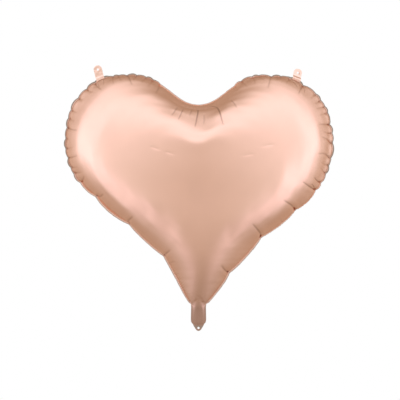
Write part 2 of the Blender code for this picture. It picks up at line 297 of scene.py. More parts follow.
def triangulate(points, edges, outline_count):
    """Anticlockwise triangles inside the outline that the first outline_count points make."""
    outline = list(range(outline_count))
    result = delaunay_2d_cdt([Vector(p) for p in points], edges, [outline], 1, 1e-5)
    points = np.array([v[:] for v in result[0]])
    tris = np.array([face for face in result[2] if len(face) == 3])
    corners = points[tris]
    u, v = corners[:, 1] - corners[:, 0], corners[:, 2] - corners[:, 0]
    cross = u[:, 0] * v[:, 1] - u[:, 1] * v[:, 0]
    tris[cross < 0] = tris[cross < 0][:, ::-1]
    return points, tris[np.abs(cross) > 1e-9], result[3]


def compacted(tris):
    """The points that triangles use, and the triangles numbered over those points alone."""
    used, numbers = np.unique(tris, return_inverse=True)
    return used, numbers.reshape(tris.shape)


def skew(z):
    """Sideways stand of the crooked heart: to the right below its widest part, none at the neck."""
    return 9.0 * (1 - ease(z, 285, 385)) * ease(z, ROOT + 2, ROOT + 95)


# ---------------------------------------------------------------- the pattern's outlines
rim_half = bezier_chain(RIM) * [HALF_W / DRAWN_HALF_W, 1.0]
neck_corner = [(NECK_IN + 0.3, 0.0)]
weld_half = rim_half - normals_of(rim_half, False) * RIM_W
weld_half[0] = (0.0, rim_half[0, 1] - RIM_W)
weld_half = np.vstack([weld_half[weld_half[:, 1] > 6.0], neck_corner]) + [0.0, ROOT]
flat_half = np.vstack([bezier_chain(FLAT)[:-1], neck_corner]) + [0.0, ROOT]
pocket_half = np.array([
    (NECK_IN + 0.3, ROOT), (NECK_IN, ROOT - 8), (NECK_IN, 23.0), (12.6, POCKET), (0.0, POCKET),
])


# ---------------------------------------------------------------- the simulation
CLOTH = dict(
    quality=6,
    mass=0.05,
    tension_stiffness=80,
    compression_stiffness=5,
    shear_stiffness=5,
    bending_stiffness=0.03,
    tension_damping=5,
    compression_damping=5,
    shear_damping=5,
    bending_damping=0.5,
    air_damping=2.0,
    use_pressure=True,
    uniform_pressure_force=20,
    vertex_group_pressure="gas",
)
CLOTH_HOLD = dict(bending_model="ANGULAR", vertex_group_mass="held", pin_stiffness=1.0)
SHRINK_END = 14  # frame by which the weld has drawn in to its inflated outline


def simulated_pattern(loop):
    """The pattern's points, its triangles, and the index of each outline point among them."""
    low, high = loop.min(0) - 1, loop.max(0) + 1
    star = Star(loop)
    parts = [loop]
    # point spacing, and the distances from the weld it applies between
    zones = (
        (SIM_STEP, 0.6 * SIM_STEP, 30),
        (1.8 * SIM_STEP, 30, 65),
        (3.0 * SIM_STEP, 65, 1e3),
    )
    for step, near, far in zones:
        points = hexes(step, low, high)
        points = points[star.inside(points)]
        away = nearest_on(points, loop)[0]
        parts.append(points[(away > near) & (away <= far)])
    count = len(loop)
    edges = [(i, (i + 1) % count) for i in range(count)]
    points, tris, origin = triangulate(np.vstack(parts), edges, count)
    welded = np.full(count, -1)
    for i, sources in enumerate(origin):
        for source in sources:
            if source < count:
                welded[source] = i
    return points, tris, welded


def sewn_films(points, tris, welded, loop):
    """Both films joined at the weld, with two rows of flat rim.

    Returns the vertices, the faces, the back film's vertex for each pattern point, and how many
    vertices belong to the films.
    """
    count, total = len(loop), len(points)
    on_weld = np.zeros(total, bool)
    on_weld[welded] = True
    free = np.where(~on_weld)[0]
    back = np.arange(total)
    back[free] = total + np.arange(len(free))
    away = nearest_on(points, loop)[0]
    verts = np.vstack([upright(points), upright(points[free])])
    verts[:total, 1] = np.where(on_weld, 0, -0.5 - 0.02 * away)
    verts[total:, 1] = 0.5 + 0.02 * away[free]
    faces = [tuple(map(int, t)) for t in tris]
    faces += [tuple(int(back[i]) for i in t[::-1]) for t in tris]
    film_count = len(verts)
    out = outward(loop)
    inner = welded
    for k in (1, 2):
        verts = np.vstack([verts, upright(loop + out * RIM_W * k / 2)])
        outer = film_count + (k - 1) * count + np.arange(count)
        for i in range(count):
            j = (i + 1) % count
            faces.append((int(inner[i]), int(inner[j]), int(outer[j])))
            faces.append((int(inner[i]), int(outer[j]), int(outer[i])))
        inner = outer
    return verts, faces, back, film_count


def inflate():
    """Blows up the pattern: its points and triangles, and where front and back film ended up."""
    body_steps = int(round(run(flat_half)[-1] / SIM_STEP))
    neck_steps = int(round(run(pocket_half)[-1] / SIM_STEP))
    loop = closed_loop(flat_half, pocket_half, body_steps, neck_steps)
    goal = closed_loop(weld_half, pocket_half, body_steps, neck_steps)
    points, tris, welded = simulated_pattern(loop)
    verts, faces, back, film_count = sewn_films(points, tris, welded, loop)

    mesh = bpy.data.meshes.new("pattern")
    mesh.from_pydata((verts * MM).tolist(), [], faces)
    ob = bpy.data.objects.new("pattern", mesh)
    scene = bpy.context.scene
    scene.collection.objects.link(ob)

    # the weld is drawn in from the flat outline to the inflated one
    ob.shape_key_add(name="Basis")
    key = ob.shape_key_add(name="inflated outline")
    drawn_in = verts.copy()
    drawn_in[welded] = upright(goal)
    key.data.foreach_set("co", (drawn_in * MM).ravel().astype(np.float32))
    for value, at_frame in ((0, 1), (1, SHRINK_END)):
        key.value = value
        key.keyframe_insert("value", frame=at_frame)

    gas = ob.vertex_groups.new(name="gas")
    gas.add([i for i in range(film_count) if verts[i, 2] > ROOT - 12], 1.0, "ADD")
    held = ob.vertex_groups.new(name="held")
    held.add([int(i) for i in welded], 0.7, "ADD")
    cloth = ob.modifiers.new("Cloth", "CLOTH")
    for name, value in CLOTH.items():
        setattr(cloth.settings, name, value)
    cloth.settings.effector_weights.gravity = 0
    for name, value in CLOTH_HOLD.items():
        setattr(cloth.settings, name, value)
    cloth.point_cache.frame_end = SIM_FRAMES + 1
    for at_frame in range(1, SIM_FRAMES + 1):
        scene.frame_set(at_frame)
    blown = ob.evaluated_get(bpy.context.evaluated_depsgraph_get()).data
    places = np.empty(len(verts) * 3, np.float32)
    blown.vertices.foreach_get("co", places)
    places = places.reshape(-1, 3).astype(float) / MM

    action = key.id_data.animation_data.action
    bpy.data.objects.remove(ob, do_unlink=True)
    bpy.data.meshes.remove(mesh)
    bpy.data.actions.remove(action)
    scene.frame_set(1)
    return points, tris, places[: len(points)], places[back]


sim_points, sim_tris, sim_front, sim_back = inflate()

# ---------------------------------------------------------------- dense outlines
# twin curves, flat and inflated: the same index is the same point of the film
fine_flat = closed_loop(flat_half, pocket_half, FINE_BODY, FINE_NECK)
fine_goal = closed_loop(weld_half, pocket_half, FINE_BODY, FINE_NECK)
fine_run = closed_run(fine_flat)
goal_run = closed_run(fine_goal)
fine_len = fine_run[-1]
root_r = FINE_BODY  # where each side of the heart meets the neck
root_l = len(fine_goal) - root_r
goal_out = outward(fine_goal)
flat_in = -outward(fine_flat)
film_star = Star(fine_flat)


def on_loop(curve, s, knots=fine_run):
    """Values of a closed curve at film positions s, where knots are its points' positions."""
    s = np.mod(s, fine_len)
    closed = np.vstack([curve, curve[:1]])
    return np.stack([np.interp(s, knots, closed[:, k]) for k in range(curve.shape[1])], axis=-1)


def film_position(segment, share):
    return fine_run[segment] + share * (fine_run[segment + 1] - fine_run[segment])


# ---------------------------------------------------------------- the film as a grid
# row 0 lies on the weld and the last row at the centre; the columns run round the weld
col_s = fine_len * np.arange(COLS) / COLS
col_flat, col_goal = on_loop(fine_flat, col_s), on_loop(fine_goal, col_s)
row_even = np.linspace(0, 1, ROWS)
row_share = row_even**ROW_POWER
grid_pattern = CENTRE + (col_flat - CENTRE)[None] * (1 - row_share)[:, None, None]
flat_goal = CENTRE + (col_goal - CENTRE)[None] * (1 - row_share)[:, None, None]
reference = np.zeros((ROWS, COLS, 3))
reference[..., 0], reference[..., 2] = flat_goal[..., 0], flat_goal[..., 1]
col_reach = np.abs(((col_flat - CENTRE) * normals_of(col_flat, True)).sum(1))
grid_inward = row_share[:, None] * col_reach[None]  # rough distance from the weld


def simulated_grids():
    """Both films' simulated places at the grid's pattern points."""
    flat_verts = [(float(x), float(z), 0.0) for x, z in sim_points]
    bvh = BVHTree.FromPolygons(flat_verts, [tuple(map(int, t)) for t in sim_tris])
    points = grid_pattern.reshape(-1, 2)
    front, back = np.empty((len(points), 3)), np.empty((len(points), 3))
    for i, (x, z) in enumerate(points):
        hit, _, face, _ = bvh.find_nearest((float(x), float(z), 0.0))
        tri = sim_tris[face]
        a, b, c = sim_points[tri]
        sides = np.array([[b[0] - a[0], c[0] - a[0]], [b[1] - a[1], c[1] - a[1]]])
        v, w = np.linalg.solve(sides, np.array([hit[0] - a[0], hit[1] - a[1]]))
        weights = np.array([1 - v - w, v, w])
        front[i], back[i] = weights @ sim_front[tri], weights @ sim_back[tri]
    return front.reshape(ROWS, COLS, 3), back.reshape(ROWS, COLS, 3)


def smooth_round(values, sigma):
    """Gaussian along the closed loop of columns, sigma in millimetres of film."""
    frequency = np.fft.rfftfreq(COLS, d=fine_len / COLS)
    damping = np.exp(-0.5 * (2 * math.pi * frequency * sigma) ** 2)
    return np.fft.irfft(np.fft.rfft(values, axis=-2) * damping[:, None], n=COLS, axis=-2)


def tame(grid):
    """The film with its wrinkles brought down to a small share of their simulated height."""
    moved = grid - reference
    neck = (1 - ease(col_flat[:, 1], ROOT + 20, ROOT + 110))[None, :, None]
    low = smooth_round(moved, 38.0) * (1 - neck) + smooth_round(moved, 15.0) * neck
    kept = (0.14 - 0.08 * ease(grid_inward, 10, 60))[..., None]
    kept = kept * (1 - neck) + 0.1 * neck
    # the hollow under the notch is taut: its broad dents go too
    calm = np.exp(-((grid[..., 0] / 150.0) ** 2) - ((grid[..., 2] - 440.0) / 62.0) ** 2)
    calm = calm[..., None]
    low = low * (1 - 0.8 * calm) + smooth_round(moved, 62.0) * 0.8 * calm
    return reference + low + kept * (1 - 0.8 * calm) * (moved - low)


def mend_centre(grid):
    """Smooths the middle of the film across so that no spoke shows."""
    centre = grid[-1].mean(0)
    w = ease(row_even, 0.80, 1.0)[:, None, None]
    return grid * (1 - w) + (smooth_round(grid - centre, 60.0) + centre) * w


front_grid, back_grid = [mend_centre(tame(grid)) for grid in simulated_grids()]

# the depth is scaled to the frame's, and both films are pulled onto one weld line
depth_scale = 2 * HALF_D / (back_grid[..., 1].max() - front_grid[..., 1].min())
for grid in (front_grid, back_grid):
    grid[..., 1] *= depth_scale
weld_line = (front_grid[0] + back_grid[0]) / 2
weld_line[:, 1] *= 0.6
pull = np.exp(-((grid_inward / 6.0) ** 2))[..., None]
for grid in (front_grid, back_grid):
    grid += (weld_line - grid[0])[None] * pull
    grid[..., 1] *= np.interp(grid[..., 2], *SLIM.T)
    grid[..., 0] += skew(grid[..., 2])
weld_line[:, 0] += skew(weld_line[:, 2])


def cubic(grid, row, col):
    """Smooth interpolation in a grid closed round its columns. row and col are in cells."""
    i = np.clip(np.floor(row).astype(int), 0, ROWS - 2)
    j = np.floor(col).astype(int)

    def weights(t):
        return np.stack([
            ((-t + 2) * t - 1) * t / 2,
            ((3 * t - 5) * t * t + 2) / 2,
            ((-3 * t + 4) * t + 1) * t / 2,
            (t - 1) * t * t / 2,
        ], -1)

    extended = np.vstack([2 * grid[:1] - grid[1:2], grid, 2 * grid[-1:] - grid[-2:-1]])
    row_w, col_w = weights(row - i), weights(col - j)
    out = np.zeros((len(row), grid.shape[-1]))
    for m in range(4):
        for n in range(4):
            cell = extended[np.clip(i + m, 0, ROWS + 1), (j + n - 1) % COLS]
            out += cell * (row_w[:, m] * col_w[:, n])[:, None]
    return out


def film(grid, points):
    """Places in space of pattern points inside the weld."""
    segment, share, times = film_star.meet(points)
    inward = np.clip(1 - 1 / times, 0, 1)
    col = film_position(segment, share) / fine_len * COLS
    return cubic(grid, inward ** (1 / ROW_POWER) * (ROWS - 1), col)


def seam_at(s):
    """The weld's own line in space at film positions s."""
    return on_loop(weld_line, s, np.r_[col_s, fine_len])


# ---------------------------------------------------------------- pinches along the weld
def find_pinches():
    """Every pinch in order along the weld, with the notch and both roots of the neck."""
    found = []
    for x, z, length in PINCHES:
        place = np.array([x - skew(float(z)), z], float)
        i = int(np.argmin(np.hypot(*(fine_goal - place).T)))
        offset = float((place - fine_goal[i]) @ goal_out[i])
        offset = float(np.clip(offset - 1.2, -4.5, 0.2))
        found.append(Pinch(fine_run[i], goal_run[i], offset, float(length)))
    found += [Pinch(fine_run[i], goal_run[i], 0.0, 0.0) for i in (root_r, root_l, 0)]
    return sorted(found, key=lambda pinch: pinch.s)


pinches = find_pinches()
pinch_s = np.array([p.s for p in pinches] + [fine_len])
pinch_goal = np.array([p.goal for p in pinches] + [goal_run[-1]])
pinch_offset = np.array([p.offset for p in pinches] + [pinches[0].offset])


def between_pinches(s):
    """The pinch before each film position, and the share of the way to the next one."""
    s = np.mod(s, fine_len)
    j = np.clip(np.searchsorted(pinch_s, s, side="right") - 1, 0, len(pinch_s) - 2)
    return j, (s - pinch_s[j]) / np.maximum(pinch_s[j + 1] - pinch_s[j], 1e-6)


def pillow(s):
    """How far the film stands out of the plain outline, and how far inward it keeps doing so."""
    j, t = between_pinches(s)
    s = np.mod(s, fine_len)
    gap = pinch_goal[j + 1] - pinch_goal[j]
    in_neck = (s > fine_run[root_r] - 1e-6) & (s < fine_run[root_l] + 1e-6)
    notch = (j == 0) | (j == len(pinch_s) - 2)
    small, large = np.clip(0.13 * gap, 1.6, 3.2), np.clip(0.07 * gap, 3.2, 6.5)
    bulge = np.where(gap < 45, small, large) * np.where(notch, 0.12, 1.0)
    arch = (1 - np.abs(2 * t - 1) ** 2.1) ** 0.85
    stand = pinch_offset[j] * (1 - t) + pinch_offset[j + 1] * t + bulge * arch
    return np.where(in_neck, 0, stand), np.clip(0.40 * gap, 8.5, 34.0)


tab_places = [joint_place(f"hang_tab_{side}_fold")[[0, 2]] for side in ("left", "right")]


def rim_way(s):
    """Unit direction of the rim outward from the weld at film positions s.

    It lies back behind the lobes and along the notch, less so low on the left, and waves between
    the pinches. At the hanging tabs and the neck it lies in the plane of the heart.
    """
    out = on_loop(goal_out, s)
    j, t = between_pinches(s)
    wave = np.where(j % 2 == 0, 1, -1) * np.sin(math.pi * t) ** 0.8
    goal = on_loop(fine_goal, s)
    at_tab = np.zeros(len(s))
    for place in tab_places:
        at_tab = np.maximum(at_tab, 1 - ease(np.hypot(*(goal - place).T), 11, 24))
    z = goal[:, 1] - ROOT
    lobes = 0.86 + 0.20 * wave
    low_left = 0.62 + 0.14 * wave + 0.12 * np.sin(s * 0.9) * np.sin(s * 0.11)
    low_right = 1.2 - 0.75 * (1 - ease(z, 128, 175)) + 0.12 * wave + 0.10 * np.sin(s * 0.8)
    high = ease(z, 255, 300)
    tilt = np.where(goal[:, 0] < 0, low_left, low_right) * (1 - high) + lobes * high
    notch = (1 - ease(np.abs(goal[:, 0]), 80, 110)) * (z > 350)
    tilt = tilt * (1 - notch) + (0.95 + 0.20 * ease(goal[:, 0], -60, -20)) * notch
    tilt = np.clip(tilt, -0.4, 1.3) * (1 - at_tab) * ease(z, -1, 14)
    return np.c_[out[:, 0] * np.cos(tilt), np.sin(tilt), out[:, 1] * np.cos(tilt)]


# ---------------------------------------------------------------- creases on the pattern
def to_pattern(grid, x, z):
    """The pattern point that ends up at (x, z) seen from the front or back."""
    distance = np.hypot(grid[..., 0] - x, grid[..., 2] - z)
    i, j = np.unravel_index(np.argmin(distance), distance.shape)
    cells = np.s_[max(i - 1, 0) : i + 2, max(j - 1, 0) : j + 2]
    weights = 1 / (distance[cells] + 0.3) ** 2
    return (grid_pattern[cells] * weights[..., None]).sum((0, 1)) / weights.sum()


def pinch_crease(grid, pinch, random):
    """The crease that runs in from a pinch."""
    k = int(np.argmin(np.abs(fine_run[:-1] - pinch.s)))
    start = fine_flat[k]
    turn = random.normal(0, 0.12)
    x, z = flat_in[k]
    way = np.array([
        x * math.cos(turn) - z * math.sin(turn),
        x * math.sin(turn) + z * math.cos(turn),
    ])
    # the film leaves the weld almost straight forward or back, so a crease is much longer than
    # it looks from the front
    steps = np.arange(2.0, 120.0, 2.0)[:, None]
    seen = film(grid, start + way * steps)
    goal_x, goal_z = fine_goal[k]
    gone = np.hypot(seen[:, 0] - goal_x - skew(goal_z), seen[:, 2] - goal_z)
    wanted = (pinch.length * 1.15 + 4.0) * (1 + random.normal(0, 0.08))
    far = np.where(gone > wanted)[0]
    length = float(steps[far[0], 0] if len(far) else 60.0)
    bend = np.array([-way[1], way[0]]) * random.normal(0, 0.04) * length
    path = np.array([start, start + way * length * 0.5 + bend, start + way * length])
    low = goal_z < 345
    depth = (1.5 if low else 0.6) + 0.06 * pinch.length
    # mark: how strong the shade painted along the crease is
    if pinch.length > 14:
        mark = 0.9 if low else 0.45
    else:
        mark = 0.5 if low else 0.2
    return Crease(path, depth, 2.0 + 0.05 * pinch.length, mark)


def find_creases(grid, lines, seed):
    random = np.random.default_rng(seed)
    found = [pinch_crease(grid, pinch, random) for pinch in pinches if pinch.length > 0]
    for start, end, depth, width, *mark in lines:
        a, b = to_pattern(grid, *start), to_pattern(grid, *end)
        middle = (a + b) / 2 + np.array([-(b - a)[1], (b - a)[0]]) * 0.04
        path = np.array([a, middle, b])
        found.append(Crease(path, depth, width, mark[0] if mark else min(1.0, depth)))
    return found


def from_weld(crease):
    return np.hypot(*(fine_flat - crease.path[0]).T).min() < 2


front_creases = find_creases(front_grid, FRONT_CREASES, seed=5)
back_creases = find_creases(back_grid, BACK_CREASES, seed=6)


# ---------------------------------------------------------------- the finished mesh's pattern
def outer_outline():
    """Right half of the cut edge: the rim's, then the neck's down to its round tip."""
    knots = [0, root_r - 160, root_r, root_l, root_l + 160, len(fine_flat)]
    widths = [RIM_W, RIM_W, NECK_RIM_W, NECK_RIM_W, RIM_W, RIM_W]
    numbers = np.arange(len(fine_flat))
    edge = fine_flat - flat_in * np.interp(numbers, knots, widths)[:, None]
    above_neck = (edge[:, 1] > ROOT + 2.0) | (edge[:, 0] > 60)
    heart = edge[(numbers <= root_r) & above_neck & (edge[:, 0] > -1e-6)]
    # the neck's side runs into the tip's circle along its tangent
    corner_x, corner_z = NECK_HALF - 0.5, 21.0
    to_corner = np.array([corner_x, corner_z]) - [0, TIP_RADIUS]
    angle = math.atan2(to_corner[1], to_corner[0])
    angle -= math.acos(TIP_RADIUS / math.hypot(*to_corner))
    neck = [
        (NECK_HALF + 0.2, ROOT - 1.0), (NECK_HALF, ROOT - 6),
        (NECK_HALF, 24.5), (corner_x, corner_z),
    ]
    neck += [
        (TIP_RADIUS * math.cos(a), TIP_RADIUS + TIP_RADIUS * math.sin(a))
        for a in np.linspace(angle, -math.pi / 2, 9)
    ]
    half = np.vstack([heart, neck])
    half = half[np.r_[True, np.hypot(*np.diff(half, axis=0).T) > 0.02]]
    half[0, 0] = 0
    half[-1] = (0, 0)
    return half


outer_half = outer_outline()
lattice_random = np.random.default_rng(11)


class Cut:
    """Points and fixed lines gathered for a triangulation."""

    def __init__(self):
        self.parts, self.edges, self.count = [], [], 0

    def loose(self, points):
        self.parts.append(points)
        self.count += len(points)
        return points

    def line(self, points, closed=False):
        first, last = self.count, self.count + len(points) - 1
        self.edges.extend((i, i + 1) for i in range(first, last))
        if closed:
            self.edges.append((last, first))
        return self.loose(points)


def weld_stations():
    """Film positions of the weld's mesh points, one of them on every pinch."""
    stops = np.unique(np.round(pinch_s, 3))
    stations = []
    for a, b in zip(stops, stops[1:]):
        steps = max(1, int(round((b - a) / FINE)))
        stations.extend(a + (b - a) * np.linspace(0, 1, steps + 1)[:-1])
    return np.array(stations)


def cut_crease(cut, crease):
    """A crease's own line and rows of points beside it."""
    line = curve_through(crease.path, 16)
    tangent = np.gradient(line, axis=0)
    tangent /= np.hypot(*tangent.T)[:, None]
    across = np.c_[-tangent[:, 1], tangent[:, 0]]
    if from_weld(crease):
        line, across = line[1:], across[1:]
    taken = [cut.line(line)]
    for offset in (-3.8, -2.0, -0.8, 0.8, 2.0, 3.8):
        row = line + across * offset
        inside = film_star.meet(row)[2] > 1
        taken.append(cut.loose(row[inside & (nearest_on(row, fine_flat)[0] > 3.0)]))
    return taken


def panel_pattern(creases, holes):
    """Pattern points and triangles of one film, cut finely along the rim and every crease."""
    outline = mirrored_loop(resampled_by(outer_half, FINE))
    cut = Cut()
    cut.line(outline, closed=True)
    stations = weld_stations()
    weld = cut.line(on_loop(fine_flat, stations), closed=True)
    ways = on_loop(flat_in, stations)
    body = weld[:, 1] > ROOT + 10
    taken = [weld]
    for inward in ((1.0, 2.4, -2.4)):
        taken.append(cut.loose(weld[body] + ways[body] * inward))
    for crease in creases:
        taken += cut_crease(cut, crease)
    angles = circle_angles()
    for x, z, radius in holes:
        ring = np.c_[x + radius * np.cos(angles), z + radius * np.sin(angles)]
        taken.append(cut.line(ring, closed=True))
        wide, turned = radius + 1.4, angles + 0.13
        taken.append(cut.loose(np.c_[x + wide * np.cos(turned), z + wide * np.sin(turned)]))

    # the rest is a lattice that widens inward: spacing, and distances inside the weld
    tree = kd_tree(np.vstack(taken))
    outer_star = Star(outline)
    low, high = outline.min(0) - 1, outline.max(0) + 1
    for step, near, far in ((FINE, -9, 26), (1.45 * FINE, 26, 60), (2.1 * FINE, 60, 1e3)):
        points = hexes(step, low, high) + lattice_random.normal(0, 0.02, 2)
        points = points[outer_star.inside(points)]
        inward = nearest_on(points, fine_flat)[0]
        inward = np.where(film_star.inside(points), inward, -inward)
        points = points[(inward > near) & (inward <= far)]
        points = points[nearest_on(points, outline)[0] > 0.45 * FINE]
        gaps = np.array([tree.find((p[0], p[1], 0))[2] for p in points])
        points = points[gaps > 0.62 * step]
        for x, z, radius in holes:
            points = points[np.hypot(points[:, 0] - x, points[:, 1] - z) > radius + 1.8]
        cut.loose(points)
    points, tris, _ = triangulate(np.vstack(cut.parts), cut.edges, len(outline))
    for x, z, radius in holes:
        middle = points[tris].mean(1)
        tris = tris[np.hypot(middle[:, 0] - x, middle[:, 1] - z) >= radius * 0.985]
    used, tris = compacted(tris)
    return points[used], tris


def mesh_normals(verts, tris):
    corners = verts[tris]
    face_normals = np.cross(corners[:, 1] - corners[:, 0], corners[:, 2] - corners[:, 0])
    out = np.zeros_like(verts)
    for k in range(3):
        np.add.at(out, tris[:, k], face_normals)
    return out / np.maximum(np.linalg.norm(out, axis=1), 1e-12)[:, None]


# ---------------------------------------------------------------- shaping one film
def locate(points):
    """Where pattern points lie relative to the weld."""
    away, segment, share = nearest_on(points, fine_flat)
    inside = film_star.inside(points) | (away < 0.02)
    s = film_position(segment, share)
    return SimpleNamespace(
        points=points, away=away, s=s, inside=inside, inward=np.where(inside, away, 0),
    )


def spread_film(grid, side, where):
    """Places of the pattern points: the film from its grid, the rim from the weld line."""
    points, s, inside = where.points, where.s, where.inside
    verts = np.zeros((len(points), 3))
    verts[inside] = film(grid, points[inside])
    # the taut middle stands a little prouder below the notch
    hump = np.exp(-(((verts[:, 2] - 366) / 46) ** 2) - (verts[:, 0] / 150) ** 2)
    verts[:, 1] += side * 3.4 * hump * inside
    seam = seam_at(s)
    in_neck = (s > fine_run[root_r]) & (s < fine_run[root_l])
    rim, neck_rim = ~inside & ~in_neck, ~inside & in_neck
    verts[rim] = (seam + rim_way(s) * where.away[:, None])[rim]
    verts[neck_rim] = (seam + upright(points - on_loop(fine_flat, s)))[neck_rim]
    return verts


def side_line(right):
    """Heights and x of the weld, low down on one side of the heart and down the neck."""
    seam = seam_at(fine_run[:-1])
    tip = int(np.argmin(seam[:, 2]))
    part = seam[: tip + 1][::-1] if right else seam[tip:]
    part = part[part[:, 2] < ROOT + 270]
    order = np.argsort(part[:, 2], kind="stable")
    return part[order, 2], part[order, 0]


def round_neck(verts, side, where):
    """Lets the neck, hardly puffed, swell into the end of the heart as one smooth cone."""
    x, z = verts[:, 0], verts[:, 2]
    points, inside, inward = where.points, where.inside, where.inward
    # half depth by height: set down the neck, fitted to the film above it, then softened
    levels = np.arange(ROOT + 24, ROOT + 250, 6.0)
    depths = [np.percentile(np.abs(verts[inside & (np.abs(z - v) < 5), 1]), 97) for v in levels]
    fit = np.polyfit(levels - ROOT, np.array(depths), 3)
    knots = np.r_[POCKET, 24, 44, ROOT - 6, ROOT + 4, levels]
    profile = np.r_[0.9, 1.6, 2.8, 4.4, 6.4, np.polyval(fit, levels - ROOT)]
    spread = np.arange(-60, 61, 3.0)
    bell = np.exp(-0.5 * (spread / 9.0) ** 2)
    heights = np.arange(0, 400, 4.0)
    softened = [
        float(np.sum(bell * np.interp(v + spread, knots, profile)) / bell.sum())
        for v in heights
    ]
    deep = np.interp(z, heights, softened)
    right, left = np.interp(z, *side_line(True)), np.interp(z, *side_line(False))
    across = (x - (right + left) / 2) / np.maximum((right - left) / 2, 1.0)
    across = np.clip(across, -1, 1)
    blend = (1 - ease(z, ROOT + 80, ROOT + 235)) * inside
    blend = blend * np.where(z > ROOT + 20, ease(inward, 0.0, 6.0), 1.0)
    # shallow lengthwise folds of the neck
    bent = 0.35 * np.sin(points[:, 0] * 0.85 + 0.6 * np.sin(points[:, 1] * 0.13))
    fold = bent + 0.25 * np.sin(points[:, 0] * 1.9 + points[:, 1] * 0.21)
    fold = np.maximum(fold, -0.3) * ease(inward, 0.5, 4) * (1 - np.abs(across))
    fold = fold * (1 - ease(points[:, 1], ROOT - 10, ROOT + 12))
    cone = deep * np.maximum(1 - np.abs(across) ** 2.1, 0) ** 0.6
    verts[:, 1] = verts[:, 1] * (1 - blend) + side * (cone + fold) * blend
    # the films keep a little room between them low down
    room = 0.72 * ease(inward, 0.0, 1.6) * (points[:, 1] < ROOT + 120) * inside
    verts[:, 1] = side * np.maximum(side * verts[:, 1], room)


def stand_out(verts, normals, where):
    """Film between two pinches stands out: in the heart's plane at the weld, squarely inside."""
    offset, reach = pillow(where.s)
    fade = np.exp(-((where.inward / reach) ** 1.5))
    k = ease(where.inward, 0.0, 7.0)[:, None]
    way = upright(on_loop(goal_out, where.s)) * (1 - k) + normals * k
    return verts + way * (offset * fade)[:, None]


def press_creases(verts, normals, creases, where):
    """Presses every crease into the film and returns the shade painted at each point along the
    creases.
    """
    points = where.points
    painted_shade = np.zeros(len(points))
    for crease in creases:
        line = curve_through(crease.path, 24)
        boxed = (points > line.min(0) - 16).all(1) & (points < line.max(0) + 16).all(1)
        near = np.where(boxed & where.inside)[0]
        if not len(near):
            continue
        distance, segment, share = nearest_on(points[near], line, closed=False)
        along = (segment + share) / (len(line) - 1)
        if from_weld(crease):
            # strongest by the weld, shallower in its last few millimetres, fading to the far end
            strength = np.clip(1 - along, 0, 1) ** 0.7
            strength = np.where(along >= 1 - 1e-6, 0, strength)
            shown = strength**0.45 * crease.mark
            strength = strength * (0.3 + 0.7 * ease(where.inward[near], 0.5, 6.0))
        else:
            strength = np.sin(math.pi * np.clip(along, 0, 1)) ** 0.45
            shown = strength * crease.mark
        # a sharp valley with a low swelling on either side
        width = crease.width
        swelling = 0.30 * np.exp(-(((distance - 2.5 * width) / (1.5 * width)) ** 2))
        height = crease.depth * strength * (-np.exp(-distance / width) + swelling)
        verts[near] += normals[near] * height[:, None]
        # painted shade along the crease's valley
        shade = shown * np.exp(-((distance / (0.55 * width)) ** 2))
        painted_shade[near] = np.maximum(painted_shade[near], shade)
    return painted_shade


def surface_marks(verts, side, painted_shade, where):
    """Point values that the foil material reads."""
    inside, inward, away = where.inside, where.inward, where.away
    x, z = on_loop(fine_goal, where.s).T
    # painted shade along the inside of the weld
    painted_shade = np.maximum(painted_shade, 0.3 * np.exp(-((inward / 1.3) ** 2)) * inside * (z > ROOT + 4))
    # painted shade on the rim's outer edge, and on the rim of the lobes; more of both on the front
    # film
    lobe_rim_shade = ease(z, 325, 365) * (1 - (1 - ease(np.abs(x), 84, 100)) * (z > 450))
    cut = 0.85 * ease(away, 2.6, 4.6) * (1 - ease(away, 5.6, 7.5))
    lobe_rim_shade, cut = (lobe_rim_shade * 0.9, cut) if side < 0 else (lobe_rim_shade * 0.2, cut * 0.45)
    # painted shade on the rim down the neck
    neck = 0.30 * (1 - ease(z, ROOT - 2, ROOT + 10))
    height = verts[:, 2]
    # painted shade over the lower end of the heart, much darker down the neck
    throat = 0.26 * (1 - ease(height, ROOT + 10, ROOT + 130))
    throat = throat + 0.70 * (1 - ease(height, ROOT - 10, ROOT + 14))
    hatch = np.exp(-((inward / 34.0) ** 2)) * (1 - ease(z, 250, 300))
    hatch = hatch * ease(z, ROOT + 8, ROOT + 40) * np.where(x < 0, 1.0, 0.5)
    return {
        "weld": (~inside).astype(float),
        "crease": np.where(~inside, np.maximum(np.maximum(lobe_rim_shade, cut), neck), painted_shade),
        "throat": throat,
        "hatch": hatch,
        "along": where.s,
    }


def shape_panel(grid, creases, side, holes):
    """One film, side -1 front and 1 back: places, triangles, marks, which points are welded."""
    points, tris = panel_pattern(creases, holes)
    where = locate(points)
    verts = spread_film(grid, side, where)
    round_neck(verts, side, where)
    if side > 0:
        tris = tris[:, ::-1]
    normals = mesh_normals(verts, tris)
    verts = stand_out(verts, normals, where)
    painted_shade = press_creases(verts, normals, creases, where)
    marks = surface_marks(verts, side, painted_shade, where)
    return verts, tris, marks, ~where.inside | (where.away < 0.02)


def solid(name, verts, tris, thick, marks, material):
    """A closed thin solid: the sheet itself outside, and a copy thick millimetres inside."""
    inner = verts - mesh_normals(verts, tris) * thick
    count = len(verts)
    sides = {}
    for a, b, c in tris:
        for side in ((a, b), (b, c), (c, a)):
            sides[side] = True
    faces = [tuple(map(int, t)) for t in tris]
    faces += [tuple(int(i) + count for i in t[::-1]) for t in tris]
    for a, b in sides:
        if (b, a) not in sides:
            faces.append(tuple(map(int, (b, a, a + count, b + count))))
    mesh = bpy.data.meshes.new(name)
    mesh.from_pydata((np.vstack([verts, inner]) * MM).tolist(), [], faces)
    mesh.validate()
    for key, values in marks.items():
        attribute = mesh.attributes.new("foil_" + key, "FLOAT", "POINT")
        attribute.data.foreach_set("value", np.r_[values, values].astype(np.float32))
    mesh.shade_smooth()
    mesh.set_sharp_from_angle(angle=math.radians(70))
    ob = bpy.data.objects.new(name, mesh)
    bpy.context.scene.collection.objects.link(ob)
    mesh.materials.append(material)
    return ob


